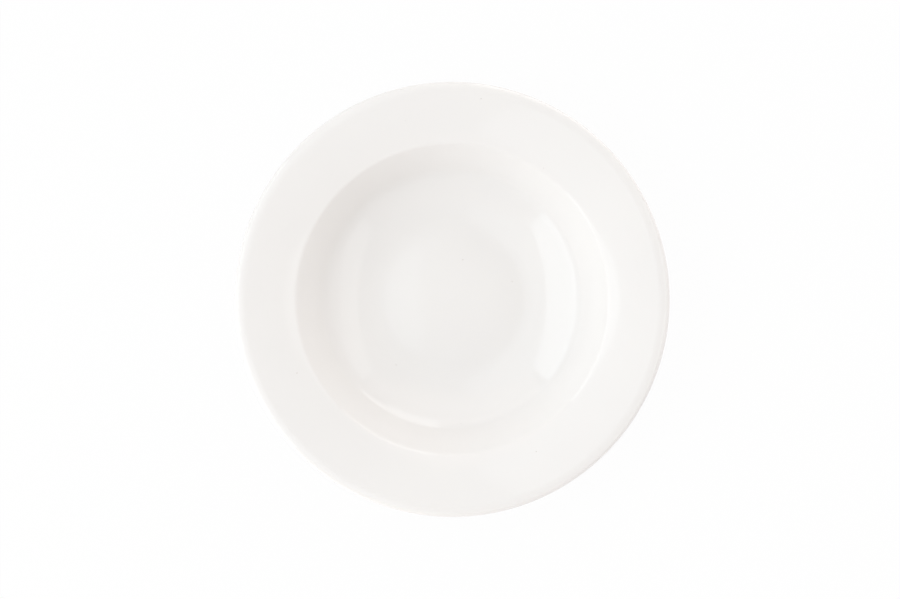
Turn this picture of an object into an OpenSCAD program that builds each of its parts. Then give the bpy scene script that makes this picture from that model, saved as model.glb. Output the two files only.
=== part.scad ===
// Rimmed soup plate in glazed porcelain, resting on its foot ring.
//
// The fired body is one solid of revolution. Its section is a single outline of corners, each
// with its own fillet. It starts on the axis under the foot recess, goes round the foot ring, out
// under the well and the rim, round the lip, and back over the rim and down the well to the axis.
// The glaze covers the body in two skins, one over the plate and one in the foot recess. Both stop
// at the glaze line, a little above the table, because the foot ring is wiped bare before firing.
//
// The outline's sizes are those of the fired body, except where glaze is said to be included.

/* [Plate] */
// Diameter over the lip, glaze included
plate_d = 230; // [216:1:244]
// Height from the table to the top of the rim, glaze included
plate_h = 38; // [36:0.5:42]

/* [Rim] */
// Diameter of the shoulder, the corner where the rim turns down into the well
shoulder_d = 165.6; // [158:0.2:176]
// Height of the rim's crest above the shoulder
rim_rise = 6.4; // [5:0.2:8]
// Height of the rim's arch above a straight line from the shoulder to the crest
rim_arch = 1.1; // [0.6:0.1:1.6]
// Radius of the rim's arch
rim_arch_r = 165; // [120:5:200]
// Radius of the shoulder's edge
shoulder_r = 4; // [2:0.5:6]
// Width of the band that eases down from the crest to the lip's edge
lip_band_w = 3.8; // [3:0.1:5]
// Drop of the outer edge of that band below the crest
lip_drop = 0.8; // [0.4:0.1:1.2]
// Radius where the rim turns over the crest
crest_r = 10; // [6:0.5:12]
// Radius of the lip's edge above
lip_top_r = 2.2; // [1.6:0.1:2.4]
// Radius of the lip's edge below
lip_under_r = 1.2; // [0.8:0.1:1.3]

/* [Well] */
// Diameter of the cove, the corner between the bowl and the steep wall
cove_d = 137; // [130:0.5:144]
// Height of the cove above the floor
cove_rise = 7.9; // [6.5:0.1:9.5]
// Radius of the cove
cove_r = 15; // [8:0.5:18]
// Diameter of the floor ring, the lowest circle of the well
floor_d = 79; // [74:0.5:84]
// Radius where the floor turns up into the bowl
floor_r = 38; // [20:1:50]
// Depth of the bowl's curve below a straight line from the floor ring to the cove
bowl_sag = 1.5; // [1:0.1:2]
// Radius of the bowl's curve
bowl_r = 105; // [80:1:115]
// Height that the floor's centre is crowned above the floor ring
crown_h = 1; // [0.4:0.1:1.4]
// Radius of the crown's curve
crown_r = 560; // [400:10:600]

/* [Wall thickness] */
// Thickness of the body's floor
floor_t = 3.9; // [3.4:0.1:4.6]
// Thickness of the body at the cove
cove_t = 4; // [3.4:0.1:4.8]
// Thickness of the body at the shoulder
shoulder_t = 4.2; // [3.4:0.1:5]
// Thickness of the body at the middle of the rim
rim_t = 3.6; // [3:0.1:4.4]
// Height of the lip's edge
lip_t = 2.9; // [2.6:0.1:3.4]
// Radius under the shoulder, in the angle between the wall and the rim
under_shoulder_r = 9; // [6:0.5:12]
// Radius under the middle of the rim
under_rim_r = 90; // [60:5:110]

/* [Foot ring] */
// Diameter of the circle that the foot ring rests on
foot_d = 106; // [98:0.5:110]
// Width of the foot ring at the table
foot_w = 3.2; // [2.6:0.1:4]
// Clearance from the table to the underside, below the floor ring
foot_h = 2.6; // [2.3:0.1:3.4]
// Slope of the foot ring's outer side, in degrees off the vertical
foot_outer_draft = 15; // [5:1:25]
// Slope of the foot ring's inner side, in degrees off the vertical
foot_inner_draft = 20; // [5:1:25]
// Radius of the foot ring's two edges at the table
foot_edge_r = 0.6; // [0.3:0.1:0.8]
// Radius where the recess meets the foot ring
recess_r = 1.2; // [0.8:0.1:1.4]
// Radius where the underside meets the foot ring
foot_root_r = 2.5; // [1.5:0.1:3]

/* [Glaze] */
// Thickness of the glaze
glaze_t = 0.3; // [0.2:0.05:0.4]
// Height of the glaze line above the table
glaze_line_h = 1.1; // [0.9:0.05:1.3]

/* [Smoothness] */
// Largest turn of a fillet between two points of the outline, in degrees
fillet_step = 2.5; // [1:0.5:5]
// Facets round the plate
facets = 180; // [60:12:240]

/* [Hidden] */

porcelain = [0.9, 0.88, 0.85];
glaze_white = [0.95, 0.94, 0.92];
// Fewest steps in a fillet, however small its turn
least_steps = 6;
// The crown's corner stands this share of the way out to the floor ring
crown_share = 0.5;
// The rim's and the bowl's curves have their corner halfway along
middle_share = 0.5;

// Vectors in the section plane, where x is the distance from the axis and y the height
function unit(v) = v / norm(v);
function right_of(v) = [v.y, -v.x];
function turned(v, angle) = [v.x * cos(angle) - v.y * sin(angle), v.x * sin(angle) + v.y * cos(angle)];
function turn_between(u, w) = atan2(u.x * w.y - u.y * w.x, u * w);
function along(p, q, share) = p + (q - p) * share;

// Point p moved by a distance square to the line from a to b, up for a line that runs outwards
function raised(p, a, b, distance) = p - right_of(unit(b - a)) * distance;

// Height of the line from p to q at a distance from the axis
function height_on(p, q, x) = p.y + (q.y - p.y) * (x - p.x) / (q.x - p.x);

// Corner b, between a and c, carried down through the body by a thickness
function through(a, b, c, thickness) =
    let (u = unit(b - a), w = unit(c - b), half_turn = turn_between(u, w) / 2)
    b + turned(right_of(u), half_turn) * thickness / cos(half_turn);

// Corner points on the upper side
rim_edge_x = plate_d / 2 - glaze_t;
crest_x = rim_edge_x - lip_band_w;
shoulder_x = shoulder_d / 2;
floor_y = foot_h + floor_t;
crown_x = floor_d / 2 * crown_share;

// The fillet of the crest is lower than its corner, so the corner stands that much over the top
rim_line = [crest_x - shoulder_x, rim_rise];
knee_to_crest = rim_line * middle_share + right_of(unit(rim_line)) * rim_arch;
crest_slope = atan2(knee_to_crest.y, knee_to_crest.x);
crest_turn = crest_slope + atan2(lip_drop, lip_band_w);
crest_loss = crest_r * (tan(crest_turn / 2) * sin(crest_slope) + cos(crest_slope) - 1);
crest = [crest_x, plate_h - glaze_t + crest_loss];
lip_top = crest + [lip_band_w, -lip_drop];
shoulder = [shoulder_x, crest.y - rim_rise];
rim_knee = raised(along(shoulder, crest, middle_share), shoulder, crest, rim_arch);
cove = [cove_d / 2, floor_y + cove_rise];
floor_ring = [floor_d / 2, floor_y];
bowl_knee = raised(along(floor_ring, cove, middle_share), floor_ring, cove, -bowl_sag);
crown_knee = [crown_x, floor_y + crown_h];
crown_top = [0, crown_knee.y];

// Corner points on the underside
lip_under = lip_top - [0, lip_t];
under_rim = through(shoulder, rim_knee, crest, rim_t);
under_shoulder = through(cove, shoulder, rim_knee, shoulder_t);
under_cove = through(bowl_knee, cove, shoulder, cove_t);
recess_top = crown_top - [0, floor_t];
recess_knee = crown_knee - [0, floor_t];
recess_ring = floor_ring - [0, floor_t];

// Corner points of the foot ring, whose two sides run up to the sloping underside
foot_outer = [foot_d / 2 + foot_w / 2, 0];
foot_inner = [foot_d / 2 - foot_w / 2, 0];
function on_outer_side(y) = foot_outer + [y * tan(foot_outer_draft), y];
function on_inner_side(y) = foot_inner + [-y * tan(foot_inner_draft), y];
function underside_at(x) = height_on(floor_ring, bowl_knee, x) - floor_t;
foot_root = on_outer_side(underside_at(foot_outer.x));
recess_corner = on_inner_side(underside_at(foot_inner.x));
outer_glaze_line = on_outer_side(glaze_line_h);
inner_glaze_line = on_inner_side(glaze_line_h);

// The outline's corners in order, each with its fillet
corners = [
    [recess_top, 0],
    [recess_knee, crown_r],
    [recess_ring, floor_r],
    [recess_corner, recess_r],
    [inner_glaze_line, 0],
    [foot_inner, foot_edge_r],
    [foot_outer, foot_edge_r],
    [outer_glaze_line, 0],
    [foot_root, foot_root_r],
    [under_cove, cove_r + cove_t],
    [under_shoulder, under_shoulder_r],
    [under_rim, under_rim_r],
    [lip_under, lip_under_r],
    [lip_top, lip_top_r],
    [crest, crest_r],
    [rim_knee, rim_arch_r],
    [shoulder, shoulder_r],
    [cove, cove_r],
    [bowl_knee, bowl_r],
    [floor_ring, floor_r],
    [crown_knee, crown_r],
    [crown_top, 0],
];
inner_line_at = 4;
outer_line_at = 7;
last_corner = len(corners) - 1;

// Direction of the side that leads from corner i to the next, and the turn from side to side there
function heading(i) = unit(corners[i + 1][0] - corners[i][0]);
function turn_at(i) = i == 0 || i == last_corner ? 0 : turn_between(heading(i - 1), heading(i));

// A fillet takes up a length of both its sides. Where a side is too short for the fillets at its two
// ends, they share it in proportion, and their radii come out smaller.
function full_reach(i) = corners[i][1] * tan(abs(turn_at(i)) / 2);
function reach_towards(i, j) =
    norm(corners[j][0] - corners[i][0]) * full_reach(i) / (full_reach(i) + full_reach(j));
function reach_at(i) =
    full_reach(i) == 0 ? 0 : min(full_reach(i), reach_towards(i, i - 1), reach_towards(i, i + 1));

// A stretch of the outline is a list of [point, outward direction], the material being on its left.
// One corner gives one item if it has no fillet, and otherwise the items of its arc.
function plain_items(i) = [[corners[i][0], right_of(heading(min(i, last_corner - 1)))]];
function arc_items(i) =
    let (
        start = right_of(heading(i - 1)),
        radius = reach_at(i) / tan(turn_at(i) / 2),
        centre = corners[i][0] - heading(i - 1) * reach_at(i) - start * radius,
        steps = max(least_steps, ceil(abs(turn_at(i)) / fillet_step))
    )
    [for (k = [0 : steps])
        let (out = turned(start, turn_at(i) * k / steps))
        [centre + out * radius, out]];
function corner_items(i) = reach_at(i) == 0 ? plain_items(i) : arc_items(i);

function stretch(from, to) = [for (i = [from : to]) each corner_items(i)];

// The points of a stretch, moved outwards by a distance
function points_of(items, outwards) = [for (item = items) item[0] + item[1] * outwards];

function reversed(list) = [for (i = [len(list) - 1 : -1 : 0]) list[i]];

// Solid of revolution between a stretch of the body's outline and the glaze's surface over it
module glaze_skin(items) {
    rotate_extrude($fn = facets)
        polygon(concat(points_of(items, glaze_t), reversed(points_of(items, 0))));
}

// The fired body, with rim, well and foot ring in one
module porcelain_body() {
    color(porcelain)
        rotate_extrude($fn = facets)
            polygon(points_of(stretch(0, last_corner), 0));
}

// The glaze over the whole plate, from the foot ring's outer side round the lip to the well's centre
module glaze_coat() {
    color(glaze_white) glaze_skin(stretch(outer_line_at, last_corner));
}

// The glaze inside the foot ring
module foot_recess_glaze() {
    color(glaze_white) glaze_skin(stretch(0, inner_line_at));
}

porcelain_body();
glaze_coat();
foot_recess_glaze();
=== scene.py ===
"""Builds a rimmed porcelain soup plate in three pieces, with the studio that it is seen in."""

import math

import bpy
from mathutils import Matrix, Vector


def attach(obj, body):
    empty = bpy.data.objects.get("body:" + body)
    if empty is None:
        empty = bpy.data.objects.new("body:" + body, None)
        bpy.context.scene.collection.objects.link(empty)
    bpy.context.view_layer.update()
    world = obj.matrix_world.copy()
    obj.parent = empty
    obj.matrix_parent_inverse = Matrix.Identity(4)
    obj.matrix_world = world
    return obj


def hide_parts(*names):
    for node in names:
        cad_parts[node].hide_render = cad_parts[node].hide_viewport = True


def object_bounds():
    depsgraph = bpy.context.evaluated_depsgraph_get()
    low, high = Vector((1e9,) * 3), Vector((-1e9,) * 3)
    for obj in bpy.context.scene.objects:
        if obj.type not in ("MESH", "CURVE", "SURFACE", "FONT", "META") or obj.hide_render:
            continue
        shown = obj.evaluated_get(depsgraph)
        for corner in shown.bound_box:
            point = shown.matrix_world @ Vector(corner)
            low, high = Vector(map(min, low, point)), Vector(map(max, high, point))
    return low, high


bl_info = {
    "name": "Rimmed Soup Plate",
    "version": (1, 0, 0),
    "blender": (4, 5, 0),
    "location": "View3D > Sidebar > Soup Plate",
    "description": "Turns a porcelain soup plate, glazes it and sets up its studio",
    "category": "Object",
}

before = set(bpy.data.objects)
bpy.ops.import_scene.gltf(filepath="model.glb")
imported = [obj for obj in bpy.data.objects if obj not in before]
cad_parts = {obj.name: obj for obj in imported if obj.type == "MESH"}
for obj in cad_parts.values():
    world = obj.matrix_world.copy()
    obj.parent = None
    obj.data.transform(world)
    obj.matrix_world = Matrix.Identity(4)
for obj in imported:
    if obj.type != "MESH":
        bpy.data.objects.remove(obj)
CAD_LOW, CAD_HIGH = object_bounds()

BODY = "root"
MM = 0.001
FULL_TURN = 2 * math.pi
QUARTER_TURN = math.pi / 2

# Steps of the spin round the axis, the widest turn of one step along the outline, and the fewest
# steps of a bend. One level of subdivision halves each step.
RING_STEPS = 96
OUTLINE_STEP = math.radians(7)
LEAST_STEPS = 3
SUBDIVISIONS = 1
# Vertices closer than this are the same one, at the seam and at the poles
SAME_PLACE = 0.001 * MM
# The crown's corner, and the corners of the rim's and the bowl's curves, stand halfway along
MIDDLE_SHARE = 0.5

# The photograph's frame, the place of the plate's axis in it, and the radius of the plate's lip
FRAME_W_PX = 900
FRAME_H_PX = 599
PLATE_X_PX = 452.1
PLATE_Y_PX = 299.4
PLATE_R_PX = 217.7

# Height of the camera and side of the table, in metres
CAMERA_H = 1.1
TABLE_SIZE = 8
# Share of pure white that the camera sees in the table round the plate, and the distances from the
# plate's axis, in metres, between which this share grows to all of it
WHITE_SHARE = 0.96
WHITE_FROM = 0.5
WHITE_BEYOND = 2
WHITE = (1, 1, 1)

# The glaze: the coarsest of the turning tool's rings and their depth, the width and depth of its
# waves, the width of its thicker patches, and the iron specks' radius and distance
RING_W = 3 * MM
RING_DEPTH = 0.003 * MM
WAVE_W = 9 * MM
WAVE_DEPTH = 0.008 * MM
PATCH_W = 60 * MM
SPECK_R = 0.2 * MM
SPECK_CELL = 15 * MM
GLAZE_ROUGHNESS = 0.05
# The bare body: the width and depth of its grain, and the height up to which the foot ring is worn
GRAIN_W = 0.6 * MM
GRAIN_DEPTH = 0.02 * MM
WEAR_H = 0.4 * MM
BISQUE_ROUGHNESS = 0.6
# Feldspar glaze and hard porcelain both refract as glass does
IOR = 1.5

# Light tent: half its width, its height, the heights of the seams in its walls, and the panels
# that glow in its four walls and its roof. A wall panel has the azimuth that it stands at, and its
# reach from left to right, seen from inside, and from bottom to top. A roof panel has its reach
# along X and Y. All are in metres. Azimuth 0 is at the photograph's right and 90 at its top. A
# radiance of 1 is white.
TENT_HALF_W = 1.0
TENT_H = 2.3
SEAM_H = 0.6
UPPER_SEAM_H = 1.05
TOP_SEAM_H = 1.6
PLAIN = "#FFFFFF"
COOL = "#EDF9FF"
WARM = "#FFEAE0"
WALL_PANELS = (
    ("Left wall, upper", 180, (-0.95, 0.85), (SEAM_H, TENT_H), 1.7, COOL),
    ("Rear wall, upper", 90, (-1.0, 1.0), (UPPER_SEAM_H, TENT_H), 0.5, WARM),
    ("Rear wall, middle left", 90, (-1.0, 0.1), (SEAM_H, UPPER_SEAM_H), 0.85, WARM),
    ("Rear wall, middle right", 90, (0.1, 0.6), (SEAM_H, UPPER_SEAM_H), 1.6, PLAIN),
    ("Rear wall, lower right", 90, (0.1, 0.6), (0.0, SEAM_H), 1.6, PLAIN),
    ("Rear wall, lower far right", 90, (0.6, 1.0), (0.0, SEAM_H), 1.9, PLAIN),
    ("Right wall, top", 0, (-0.9, 0.9), (TOP_SEAM_H, TENT_H), 0.8, PLAIN),
    ("Right wall, middle", 0, (-0.9, 0.9), (SEAM_H, TOP_SEAM_H), 0.3, WARM),
    ("Front wall, upper", 270, (-1.0, 1.0), (SEAM_H, TENT_H), 0.27, WARM),
)
# Low panels that light the plate and aren't mirrored in its glaze
FILL_PANELS = (
    ("Left wall, lower front", 180, (-1.0, 0.0), (0.0, SEAM_H), 2.1, PLAIN),
    ("Rear wall, lower left", 90, (-0.5, 0.0), (0.0, SEAM_H), 0.33, WARM),
    ("Right wall, lower rear", 0, (-1.0, 0.0), (0.0, SEAM_H), 1.25, PLAIN),
    ("Right wall, lower front", 0, (0.0, 1.0), (0.0, SEAM_H), 0.5, PLAIN),
    ("Front wall, lower right", 270, (-0.5, 0.0), (0.0, SEAM_H), 1.15, PLAIN),
    ("Front wall, lower left", 270, (0.0, 0.8), (0.0, SEAM_H), 0.95, WARM),
)
ROOF_PANELS = (("Roof, left", (-1.0, -0.15), (-1.0, 1.0), 0.48, COOL),)
# Radiance of the room round the tent, as it lights the plate
ROOM_FILL = 0.38

# The sRGB curve: straight up to its knee, and a power above it
SRGB_KNEE = 0.04045
SRGB_SLOPE = 12.92
SRGB_OFFSET = 0.055
SRGB_POWER = 2.4


def linear(code):
    """Linear colour of an sRGB hex code such as #F0EDE8."""
    shares = [int(code[i : i + 2], 16) / 255 for i in (1, 3, 5)]
    return tuple(
        s / SRGB_SLOPE if s <= SRGB_KNEE else ((s + SRGB_OFFSET) / (1 + SRGB_OFFSET)) ** SRGB_POWER
        for s in shares
    )


def length(name, description, millimetres):
    """Property for one size of the plate."""
    return bpy.props.FloatProperty(
        name=name, description=description, default=millimetres * MM, unit="LENGTH", precision=5
    )


def angle(name, description, degrees):
    """Property for one angle."""
    return bpy.props.FloatProperty(
        name=name, description=description, default=math.radians(degrees), subtype="ANGLE"
    )


def colour(name, description, code):
    """Property for one colour."""
    return bpy.props.FloatVectorProperty(
        name=name, description=description, default=linear(code), subtype="COLOR", min=0, max=1
    )


class PlateSizes(bpy.types.PropertyGroup):
    """Sizes of the fired body's section, as in the part's source, and of the glaze."""

    plate_d: length("Diameter", "Diameter over the lip, glaze included", (CAD_HIGH.x - CAD_LOW.x) / MM)
    plate_h: length("Height", "Height to the top of the rim, glaze included", CAD_HIGH.z / MM)
    shoulder_d: length("Shoulder diameter", "Where the rim turns down into the well", 165.6)
    rim_rise: length("Rim rise", "Height of the rim's crest above the shoulder", 6.4)
    rim_arch: length("Rim arch", "Height of the rim's arch above a straight line", 1.1)
    rim_arch_r: length("Rim radius", "Radius of the rim's arch", 165)
    shoulder_r: length("Shoulder radius", "Radius of the shoulder's edge", 4)
    lip_band_w: length("Lip band", "Width of the band from the crest to the lip's edge", 3.8)
    lip_drop: length("Lip drop", "Drop of that band's outer edge below the crest", 0.8)
    crest_r: length("Crest radius", "Radius where the rim turns over the crest", 10)
    lip_top_r: length("Lip radius above", "Radius of the lip's upper edge", 2.2)
    lip_under_r: length("Lip radius below", "Radius of the lip's lower edge", 1.2)
    cove_d: length("Cove diameter", "Corner between the bowl and the steep wall", 137)
    cove_rise: length("Cove rise", "Height of the cove above the floor", 7.9)
    cove_r: length("Cove radius", "Radius of the cove", 15)
    floor_d: length("Floor diameter", "Lowest circle of the well", 79)
    floor_r: length("Floor radius", "Radius where the floor turns up", 38)
    bowl_sag: length("Bowl sag", "Depth of the bowl's curve below a straight line", 1.5)
    bowl_r: length("Bowl radius", "Radius of the bowl's curve", 105)
    crown_h: length("Crown", "Height of the floor's centre above its lowest circle", 1)
    crown_r: length("Crown radius", "Radius of the crown's curve", 560)
    floor_t: length("Floor thickness", "Thickness of the body's floor", 3.9)
    cove_t: length("Cove thickness", "Thickness of the body at the cove", 4)
    shoulder_t: length("Shoulder thickness", "Thickness of the body at the shoulder", 4.2)
    rim_t: length("Rim thickness", "Thickness of the body at the middle of the rim", 3.6)
    lip_t: length("Lip thickness", "Height of the lip's edge", 2.9)
    under_shoulder_r: length("Radius under the shoulder", "In the angle of wall and rim", 9)
    under_rim_r: length("Radius under the rim", "Under the middle of the rim", 90)
    foot_d: length("Foot diameter", "Circle that the foot ring rests on", 106)
    foot_w: length("Foot width", "Width of the foot ring at the table", 3.2)
    foot_h: length("Foot clearance", "From the table to the underside, below the floor ring", 2.6)
    foot_outer_draft: angle("Outer draft", "Slope of the foot ring's outer side", 15)
    foot_inner_draft: angle("Inner draft", "Slope of the foot ring's inner side", 20)
    foot_edge_r: length("Foot edge radius", "Radius of the foot ring's edges at the table", 0.6)
    recess_r: length("Recess radius", "Where the recess meets the foot ring", 1.2)
    foot_root_r: length("Foot root radius", "Where the underside meets the foot ring", 2.5)
    glaze_t: length("Glaze thickness", "Thickness of the glaze", 0.3)
    glaze_line_h: length("Glaze line", "Height of the glaze line above the table", 1.1)


class PlateColours(bpy.types.PropertyGroup):
    """Colours of the plate's finishes and of the backdrop."""

    glaze: colour("Glaze", "White of the glaze", "#F6F4F1")
    glaze_pooled: colour("Pooled glaze", "The glaze where it is a little thicker", "#F2F0EE")
    speck: colour("Speck", "Iron specks in the glaze", "#B8AEA2")
    bisque: colour("Bare porcelain", "The body where it is not glazed", "#E6DFD3")
    bisque_worn: colour("Worn porcelain", "The foot ring where it rubs on tables", "#C9C1B4")
    backdrop: colour("Backdrop", "Table and backdrop", "#F4F4F4")


class Bend:
    """A corner of the outline: an arc, or with no fillet the corner itself."""

    def __init__(self, centre, radius, outwards, turn):
        self.centre = centre
        self.radius = radius
        self.outwards = outwards
        self.turn = turn

    def start(self, lift):
        """Where the arc starts, on the surface that lies a distance over the body."""
        return self.centre + self.outwards * (self.radius + lift)

    def end(self, lift):
        """Where the arc ends on that surface."""
        return self.centre + turned(self.outwards, self.turn) * (self.radius + lift)


def right_of(v):
    """Direction to the right of a direction in the section plane."""
    return Vector((v.y, -v.x))


def turned(v, turn):
    """Vector v turned from the axis's outward direction towards the upward one."""
    c, s = math.cos(turn), math.sin(turn)
    return Vector((v.x * c - v.y * s, v.x * s + v.y * c))


def turn_between(u, w):
    """Signed turn from direction u to direction w."""
    return math.atan2(u.x * w.y - u.y * w.x, u.dot(w))


def raised(p, a, b, distance):
    """Point p moved by a distance square to the line from a to b."""
    return p - right_of((b - a).normalized()) * distance


def height_on(p, q, x):
    """Height of the line from p to q at a distance from the axis."""
    return p.y + (q.y - p.y) * (x - p.x) / (q.x - p.x)


def through(a, b, c, thickness):
    """Corner b, between a and c, carried down through the body."""
    u = (b - a).normalized()
    half_turn = turn_between(u, (c - b).normalized()) / 2
    return b + turned(right_of(u), half_turn) * thickness / math.cos(half_turn)


def upper_corners(s):
    """Corners of the upper side from the lip's edge to the well's centre."""
    crest_x = s.plate_d / 2 - s.glaze_t - s.lip_band_w
    rim_line = Vector((crest_x - s.shoulder_d / 2, s.rim_rise))
    knee_to_crest = rim_line * MIDDLE_SHARE + right_of(rim_line.normalized()) * s.rim_arch
    slope = math.atan2(knee_to_crest.y, knee_to_crest.x)
    turn = slope + math.atan2(s.lip_drop, s.lip_band_w)
    loss = s.crest_r * (math.tan(turn / 2) * math.sin(slope) + math.cos(slope) - 1)
    floor_y = s.foot_h + s.floor_t

    crest = Vector((crest_x, s.plate_h - s.glaze_t + loss))
    shoulder = crest - rim_line
    cove = Vector((s.cove_d / 2, floor_y + s.cove_rise))
    floor_ring = Vector((s.floor_d / 2, floor_y))
    crown_knee = Vector((s.floor_d / 2 * MIDDLE_SHARE, floor_y + s.crown_h))
    return {
        "lip_top": (crest + Vector((s.lip_band_w, -s.lip_drop)), s.lip_top_r),
        "crest": (crest, s.crest_r),
        "rim_knee": (crest - knee_to_crest, s.rim_arch_r),
        "shoulder": (shoulder, s.shoulder_r),
        "cove": (cove, s.cove_r),
        "bowl_knee": (
            raised(floor_ring.lerp(cove, MIDDLE_SHARE), floor_ring, cove, -s.bowl_sag),
            s.bowl_r,
        ),
        "floor_ring": (floor_ring, s.floor_r),
        "crown_knee": (crown_knee, s.crown_r),
        "crown_top": (Vector((0, crown_knee.y)), 0),
    }


def lower_corners(s, upper):
    """Corners of the underside from the centre of the recess to the lip's edge."""
    top = {name: point for name, (point, fillet) in upper.items()}
    down = Vector((0, -s.floor_t))
    outer = Vector(((s.foot_d + s.foot_w) / 2, 0))
    inner = Vector(((s.foot_d - s.foot_w) / 2, 0))

    def underside(foot):
        return height_on(top["floor_ring"], top["bowl_knee"], foot.x) - s.floor_t

    def on_outer_side(y):
        return outer + Vector((y * math.tan(s.foot_outer_draft), y))

    def on_inner_side(y):
        return inner + Vector((-y * math.tan(s.foot_inner_draft), y))

    return {
        "recess_top": (top["crown_top"] + down, 0),
        "recess_knee": (top["crown_knee"] + down, s.crown_r),
        "recess_ring": (top["floor_ring"] + down, s.floor_r),
        "recess_corner": (on_inner_side(underside(inner)), s.recess_r),
        "inner_line": (on_inner_side(s.glaze_line_h), 0),
        "foot_inner": (inner, s.foot_edge_r),
        "foot_outer": (outer, s.foot_edge_r),
        "outer_line": (on_outer_side(s.glaze_line_h), 0),
        "foot_root": (on_outer_side(underside(outer)), s.foot_root_r),
        "under_cove": (
            through(top["bowl_knee"], top["cove"], top["shoulder"], s.cove_t),
            s.cove_r + s.cove_t,
        ),
        "under_shoulder": (
            through(top["cove"], top["shoulder"], top["rim_knee"], s.shoulder_t),
            s.under_shoulder_r,
        ),
        "under_rim": (
            through(top["shoulder"], top["rim_knee"], top["crest"], s.rim_t),
            s.under_rim_r,
        ),
        "lip_under": (top["lip_top"] - Vector((0, s.lip_t)), s.lip_under_r),
    }


def outline(s):
    """The body's outline as named bends, from under the recess round the lip to the well's centre."""
    upper = upper_corners(s)
    corners = {**lower_corners(s, upper), **upper}
    points = [point for point, fillet in corners.values()]
    headings = [(b - a).normalized() for a, b in zip(points, points[1:])]
    turns = [0, *(turn_between(u, w) for u, w in zip(headings, headings[1:])), 0]
    # Each fillet takes up a length of its two sides, and fillets share a side that is too short
    full = [fillet * math.tan(abs(t) / 2) for (p, fillet), t in zip(corners.values(), turns)]
    bends = {}
    for i, name in enumerate(corners):
        outwards = right_of(headings[min(i, len(headings) - 1)])
        if full[i] == 0:
            bends[name] = Bend(points[i], 0, outwards, 0)
            continue
        sides = [(points[j] - points[i]).length * full[i] / (full[i] + full[j]) for j in (i - 1, i + 1)]
        reach = min(full[i], *sides)
        start = right_of(headings[i - 1])
        radius = reach / math.tan(turns[i] / 2)
        bends[name] = Bend(points[i] - headings[i - 1] * reach - start * radius, radius, start, turns[i])
    return bends


def stretch(bends, first, last):
    """The bends from one name to another."""
    names = list(bends)
    return [bends[name] for name in names[names.index(first) : names.index(last) + 1]]


def deselect_all():
    """Leaves edit mode with nothing selected."""
    if bpy.context.object and bpy.context.object.mode != "OBJECT":
        bpy.ops.object.mode_set(mode="OBJECT")
    bpy.ops.object.select_all(action="DESELECT")


class Pen:
    """Draws half a section in the XZ plane, by extruding and spinning a single vertex."""

    def __init__(self, name, point):
        deselect_all()
        bpy.ops.mesh.primitive_plane_add(size=MM, location=(point.x, 0, point.y))
        bpy.ops.object.transform_apply(location=True)
        bpy.context.object.name = name
        bpy.context.object.data.name = name
        bpy.ops.object.mode_set(mode="EDIT")
        bpy.ops.mesh.merge(type="CENTER")
        self.point = point

    def line_to(self, point):
        """Extrudes a straight side."""
        step = point - self.point
        if step.length > SAME_PLACE:
            move = {"value": (step.x, 0, step.y)}
            bpy.ops.mesh.extrude_region_move(TRANSFORM_OT_translate=move)
            self.point = point

    def arc(self, centre, turn):
        """Spins an arc about its centre."""
        steps = max(LEAST_STEPS, math.ceil(abs(turn) / OUTLINE_STEP))
        bpy.ops.mesh.spin(steps=steps, angle=turn, center=(centre.x, 0, centre.y), axis=(0, 1, 0))
        self.point = centre + turned(self.point - centre, turn)

    def follow(self, bends, lift, way):
        """Draws along bends, at a distance over the body, with the outline (1) or against it (-1)."""
        for bend in bends:
            self.line_to(bend.start(lift) if way > 0 else bend.end(lift))
            if bend.turn:
                self.arc(bend.centre, bend.turn * way)

    def turn_piece(self):
        """Spins the section round the plate's axis into a closed, smooth piece."""
        bpy.ops.mesh.select_all(action="SELECT")
        bpy.ops.mesh.spin(steps=RING_STEPS, angle=FULL_TURN, center=(0, 0, 0), axis=(0, 0, 1))
        bpy.ops.mesh.select_all(action="SELECT")
        bpy.ops.mesh.remove_doubles(threshold=SAME_PLACE)
        bpy.ops.mesh.normals_make_consistent(inside=False)
        bpy.ops.object.mode_set(mode="OBJECT")
        bpy.ops.object.shade_smooth()
        piece = bpy.context.object
        smoothing = piece.modifiers.new("Smoothing", "SUBSURF")
        smoothing.levels = SUBDIVISIONS
        smoothing.render_levels = SUBDIVISIONS
        bpy.ops.object.modifier_apply(modifier=smoothing.name)
        return piece


def glaze_skin(name, bends, thickness, way):
    """Draws and turns a skin of glaze over the bends, which lead from the axis to the glaze line."""
    line = bends[-1]
    edge = line.centre - turned(line.outwards, QUARTER_TURN) * thickness * way
    pen = Pen(name, bends[0].start(thickness))
    pen.follow(bends[:-1], thickness, way)
    # The glaze runs out in a quarter round, whose toe is at the glaze line
    pen.line_to(edge + line.outwards * thickness)
    pen.arc(edge, QUARTER_TURN * way)
    pen.follow(bends[-2::-1], 0, -way)
    return pen.turn_piece()


def finish_piece(piece, node, material):
    """Puts a piece in its CAD node's place, with its finish."""
    piece.data.materials.append(material)
    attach(piece, BODY)
    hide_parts(node)


def add_node(tree, kind, links=None, values=None, **settings):
    """Adds a shader node with its settings, its inputs' values and the sockets linked to them."""
    node = tree.nodes.new(kind)
    for name, value in settings.items():
        setattr(node, name, value)
    for name, value in (values or {}).items():
        node.inputs[name].default_value = value
    for name, socket in (links or {}).items():
        tree.links.new(socket, node.inputs[name])
    return node


def new_material(name):
    """An empty material, its node tree and its output node."""
    material = bpy.data.materials.new(name)
    material.use_nodes = True
    material.node_tree.nodes.clear()
    return material, material.node_tree, add_node(material.node_tree, "ShaderNodeOutputMaterial")


def rgba(rgb):
    """A colour property with full alpha."""
    return (*rgb, 1)


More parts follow.
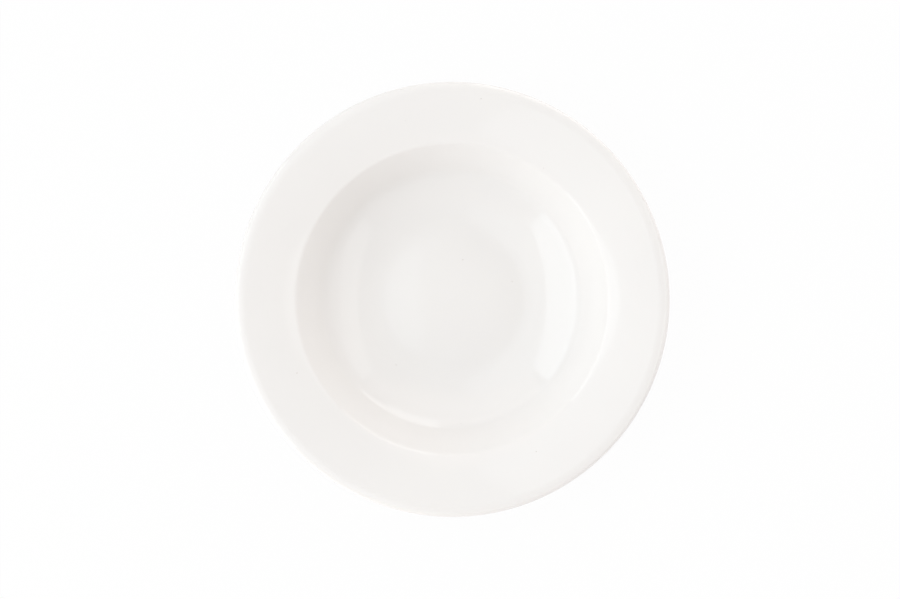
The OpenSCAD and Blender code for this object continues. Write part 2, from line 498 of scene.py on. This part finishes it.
def glaze_material(colours):
    """Feldspar glaze on hard porcelain, dipped and fired glossy.

    The eye sees a warm white with sharp reflections, faint rings left by the turning tool under
    the glaze, a slight waviness where it ran, and a few iron specks.
    """
    material, tree, output = new_material("feldspar_glaze")
    place = add_node(tree, "ShaderNodeTexCoord").outputs["Object"]

    # Rings about the axis, coarse ones with finer ones between them
    flat = add_node(
        tree, "ShaderNodeVectorMath", {0: place}, {1: (1, 1, 0)}, operation="MULTIPLY"
    ).outputs["Vector"]
    radius = add_node(tree, "ShaderNodeVectorMath", {0: flat}, operation="LENGTH").outputs["Value"]
    rings = add_node(
        tree,
        "ShaderNodeTexNoise",
        {"W": radius},
        {"Scale": 1 / RING_W, "Detail": 2},
        noise_dimensions="1D",
    ).outputs["Fac"]
    ring_bump = add_node(
        tree, "ShaderNodeBump", {"Height": rings}, {"Strength": 1, "Distance": RING_DEPTH}
    ).outputs["Normal"]

    # Waviness of the run glaze
    waves = add_node(
        tree, "ShaderNodeTexNoise", {"Vector": place}, {"Scale": 1 / WAVE_W, "Detail": 1}
    ).outputs["Fac"]
    surface = add_node(
        tree,
        "ShaderNodeBump",
        {"Height": waves, "Normal": ring_bump},
        {"Strength": 1, "Distance": WAVE_DEPTH},
    ).outputs["Normal"]

    # The glaze is a little thicker in broad soft patches
    patches = add_node(
        tree, "ShaderNodeTexNoise", {"Vector": place}, {"Scale": 1 / PATCH_W, "Detail": 2}
    ).outputs["Fac"]
    white = add_node(
        tree,
        "ShaderNodeMix",
        {"Factor": patches},
        {"A": rgba(colours.glaze), "B": rgba(colours.glaze_pooled)},
        data_type="RGBA",
    )

    # Iron specks: one small ball in each cell, of which the surface cuts a few
    cells = add_node(
        tree, "ShaderNodeTexVoronoi", {"Vector": place}, {"Scale": 1 / SPECK_CELL}
    ).outputs["Distance"]
    speck = add_node(
        tree, "ShaderNodeMath", {0: cells}, {1: SPECK_R / SPECK_CELL}, operation="LESS_THAN"
    ).outputs["Value"]
    specked = add_node(
        tree,
        "ShaderNodeMix",
        {"Factor": speck, "A": white.outputs["Result"]},
        {"B": rgba(colours.speck)},
        data_type="RGBA",
    )
    shader = add_node(
        tree,
        "ShaderNodeBsdfPrincipled",
        {"Base Color": specked.outputs["Result"], "Normal": surface},
        {"Roughness": GLAZE_ROUGHNESS, "IOR": IOR},
    )
    tree.links.new(shader.outputs["BSDF"], output.inputs["Surface"])
    return material


def bisque_material(colours):
    """Hard porcelain without glaze, fired and then ground smooth where it stands.

    The eye sees a dry, fine-grained off-white, greyer on the rubbed standing edge.
    """
    material, tree, output = new_material("bare_porcelain")
    place = add_node(tree, "ShaderNodeTexCoord").outputs["Object"]
    grain = add_node(
        tree, "ShaderNodeTexNoise", {"Vector": place}, {"Scale": 1 / GRAIN_W, "Detail": 3}
    ).outputs["Fac"]
    surface = add_node(
        tree, "ShaderNodeBump", {"Height": grain}, {"Strength": 1, "Distance": GRAIN_DEPTH}
    ).outputs["Normal"]

    # Wear fades out up the foot ring, and is patchy with the grain
    height = add_node(tree, "ShaderNodeSeparateXYZ", {"Vector": place}).outputs["Z"]
    wear = add_node(
        tree,
        "ShaderNodeMapRange",
        {"Value": height},
        {"From Min": 0, "From Max": WEAR_H, "To Min": 1, "To Max": 0},
    ).outputs["Result"]
    rubbed = add_node(
        tree, "ShaderNodeMath", {0: wear, 1: grain}, operation="MULTIPLY"
    ).outputs["Value"]
    tone = add_node(
        tree,
        "ShaderNodeMix",
        {"Factor": rubbed},
        {"A": rgba(colours.bisque), "B": rgba(colours.bisque_worn)},
        data_type="RGBA",
    )
    shader = add_node(
        tree,
        "ShaderNodeBsdfPrincipled",
        {"Base Color": tone.outputs["Result"], "Normal": surface},
        {"Roughness": BISQUE_ROUGHNESS, "IOR": IOR},
    )
    tree.links.new(shader.outputs["BSDF"], output.inputs["Surface"])
    return material


def backdrop_material(colours):
    """Matt white paper, seen as pure white but for the soft shadow round the plate."""
    material, tree, output = new_material("white_paper")
    paper = add_node(
        tree, "ShaderNodeBsdfDiffuse", values={"Color": rgba(colours.backdrop)}
    ).outputs["BSDF"]
    glow = add_node(tree, "ShaderNodeEmission", values={"Strength": 1}).outputs["Emission"]
    place = add_node(tree, "ShaderNodeTexCoord").outputs["Object"]
    away = add_node(tree, "ShaderNodeVectorMath", {0: place}, operation="LENGTH").outputs["Value"]
    share = add_node(
        tree,
        "ShaderNodeMapRange",
        {"Value": away},
        {"From Min": WHITE_FROM, "From Max": WHITE_BEYOND, "To Min": WHITE_SHARE, "To Max": 1},
    ).outputs["Result"]
    seen = add_node(
        tree, "ShaderNodeMixShader", {"Fac": share, 1: paper, 2: glow}
    ).outputs["Shader"]
    shader = add_node(tree, "ShaderNodeMixShader", {"Fac": seen_directly(tree), 1: paper, 2: seen})
    tree.links.new(shader.outputs["Shader"], output.inputs["Surface"])
    return material


def seen_directly(tree):
    """1 for what the camera sees, itself or in a reflection, and otherwise 0."""
    rays = add_node(tree, "ShaderNodeLightPath").outputs
    reflected = add_node(
        tree,
        "ShaderNodeMath",
        {0: rays["Is Glossy Ray"], 1: rays["Is Transmission Ray"]},
        operation="MAXIMUM",
    ).outputs["Value"]
    return add_node(
        tree, "ShaderNodeMath", {0: rays["Is Camera Ray"], 1: reflected}, operation="MAXIMUM"
    ).outputs["Value"]


def light_room(fill):
    """The room gives an even fill, and is pure white to the camera and in reflections."""
    world = bpy.data.worlds.new("White room")
    bpy.context.scene.world = world
    world.use_nodes = True
    tree = world.node_tree
    tree.nodes.clear()
    dim, white = (
        add_node(
            tree, "ShaderNodeBackground", values={"Color": rgba(WHITE), "Strength": strength}
        ).outputs["Background"]
        for strength in (fill, 1)
    )
    walls = add_node(tree, "ShaderNodeMixShader", {"Fac": seen_directly(tree), 1: dim, 2: white})
    output = add_node(tree, "ShaderNodeOutputWorld")
    tree.links.new(walls.outputs["Shader"], output.inputs["Surface"])


def add_panel(name, centre, turn, width, height, radiance, tint):
    """A glowing panel of the tent, which the camera itself doesn't see."""
    deselect_all()
    bpy.ops.object.light_add(type="AREA", location=centre, rotation=turn)
    panel = bpy.context.object
    panel.name = name
    panel.visible_camera = False
    light = panel.data
    light.name = name
    light.shape = "RECTANGLE"
    light.size = width
    light.size_y = height
    light.color = linear(tint)
    light.energy = radiance * math.pi * width * height
    return panel


def add_wall_panel(name, azimuth, across, upwards, radiance, tint):
    """A panel upright in a wall of the tent, facing the plate."""
    a = math.radians(azimuth)
    out = Vector((math.cos(a), math.sin(a), 0))
    right = Vector((math.sin(a), -math.cos(a), 0))
    middle_across, middle_up = sum(across) / 2, sum(upwards) / 2
    centre = out * TENT_HALF_W + right * middle_across + Vector((0, 0, middle_up))
    size = (across[1] - across[0], upwards[1] - upwards[0])
    return add_panel(name, centre, (QUARTER_TURN, 0, a + QUARTER_TURN), *size, radiance, tint)


def add_roof_panel(name, along_x, along_y, radiance, tint):
    """A panel level in the roof of the tent, facing down."""
    centre = (sum(along_x) / 2, sum(along_y) / 2, TENT_H)
    size = (along_x[1] - along_x[0], along_y[1] - along_y[0])
    return add_panel(name, centre, (0, 0, 0), *size, radiance, tint)


def add_camera(sizes):
    """The camera looks straight down, from where the lip is as wide as in the photograph."""
    deselect_all()
    bpy.ops.object.camera_add(location=(0, 0, CAMERA_H), rotation=(0, 0, 0))
    camera = bpy.context.object
    camera.name = "Overhead camera"
    lens = camera.data
    lens.sensor_fit = "HORIZONTAL"
    lip_h = sizes.plate_h - sizes.lip_drop - sizes.lip_top_r
    pixels_per_slope = PLATE_R_PX * (CAMERA_H - lip_h) / (sizes.plate_d / 2)
    lens.lens = pixels_per_slope * lens.sensor_width / FRAME_W_PX
    lens.shift_x = (FRAME_W_PX / 2 - PLATE_X_PX) / FRAME_W_PX
    lens.shift_y = (PLATE_Y_PX - FRAME_H_PX / 2) / FRAME_W_PX
    bpy.context.scene.camera = camera


class SOUPPLATE_OT_body(bpy.types.Operator):
    """Turn the fired body: rim, wall, well and foot ring in one"""

    bl_idname = "soup_plate.body"
    bl_label = "Porcelain Body"

    def execute(self, context):
        bends = list(outline(context.scene.plate_sizes).values())
        pen = Pen("fired_body", bends[0].start(0))
        pen.follow(bends, 0, 1)
        bisque = bisque_material(context.scene.plate_colours)
        finish_piece(pen.turn_piece(), "porcelain_body", bisque)
        return {"FINISHED"}


class SOUPPLATE_OT_glaze_coat(bpy.types.Operator):
    """Glaze the plate from the middle of the well over the rim and under it to the foot ring"""

    bl_idname = "soup_plate.glaze_coat"
    bl_label = "Glaze Coat"

    def execute(self, context):
        sizes = context.scene.plate_sizes
        bends = stretch(outline(sizes), "outer_line", "crown_top")
        piece = glaze_skin("plate_glaze", bends[::-1], sizes.glaze_t, -1)
        finish_piece(piece, "glaze_coat", glaze_material(context.scene.plate_colours))
        return {"FINISHED"}


class SOUPPLATE_OT_recess_glaze(bpy.types.Operator):
    """Glaze the recess inside the foot ring"""

    bl_idname = "soup_plate.recess_glaze"
    bl_label = "Recess Glaze"

    def execute(self, context):
        sizes = context.scene.plate_sizes
        bends = stretch(outline(sizes), "recess_top", "inner_line")
        piece = glaze_skin("recess_glaze", bends, sizes.glaze_t, 1)
        finish_piece(piece, "foot_recess_glaze", glaze_material(context.scene.plate_colours))
        return {"FINISHED"}


class SOUPPLATE_OT_studio(bpy.types.Operator):
    """Set up the white table, the light tent and the overhead camera"""

    bl_idname = "soup_plate.studio"
    bl_label = "Studio"

    def execute(self, context):
        scene = context.scene
        deselect_all()
        bpy.ops.mesh.primitive_plane_add(size=TABLE_SIZE, location=(0, 0, 0))
        table = context.object
        table.name = "White table"
        table.data.materials.append(backdrop_material(scene.plate_colours))
        for panel in WALL_PANELS:
            add_wall_panel(*panel)
        for panel in FILL_PANELS:
            add_wall_panel(*panel).visible_glossy = False
        for panel in ROOF_PANELS:
            add_roof_panel(*panel)
        light_room(ROOM_FILL)
        add_camera(scene.plate_sizes)
        scene.view_settings.view_transform = "Standard"
        return {"FINISHED"}


OPERATORS = (
    SOUPPLATE_OT_body,
    SOUPPLATE_OT_glaze_coat,
    SOUPPLATE_OT_recess_glaze,
    SOUPPLATE_OT_studio,
)


class SOUPPLATE_PT_panel(bpy.types.Panel):
    """Lists the plate's pieces and its studio, with the sizes and colours"""

    bl_idname = "SOUPPLATE_PT_panel"
    bl_label = "Soup Plate"
    bl_space_type = "VIEW_3D"
    bl_region_type = "UI"
    bl_category = "Soup Plate"

    def draw(self, context):
        for operator in OPERATORS:
            self.layout.operator(operator.bl_idname)
        for group in (context.scene.plate_sizes, context.scene.plate_colours):
            box = self.layout.box()
            for name in group.__annotations__:
                box.prop(group, name)


CLASSES = (PlateSizes, PlateColours, *OPERATORS, SOUPPLATE_PT_panel)


def register():
    """Registers the classes and gives the scene its sizes and colours."""
    for cls in CLASSES:
        bpy.utils.register_class(cls)
    bpy.types.Scene.plate_sizes = bpy.props.PointerProperty(type=PlateSizes)
    bpy.types.Scene.plate_colours = bpy.props.PointerProperty(type=PlateColours)


def unregister():
    """Takes the sizes, the colours and the classes out again."""
    del bpy.types.Scene.plate_colours
    del bpy.types.Scene.plate_sizes
    for cls in reversed(CLASSES):
        bpy.utils.unregister_class(cls)


def main():
    """Builds the plate and its studio."""
    register()
    bpy.ops.soup_plate.body()
    bpy.ops.soup_plate.glaze_coat()
    bpy.ops.soup_plate.recess_glaze()
    bpy.ops.soup_plate.studio()
    deselect_all()


if __name__ == "__main__":
    main()
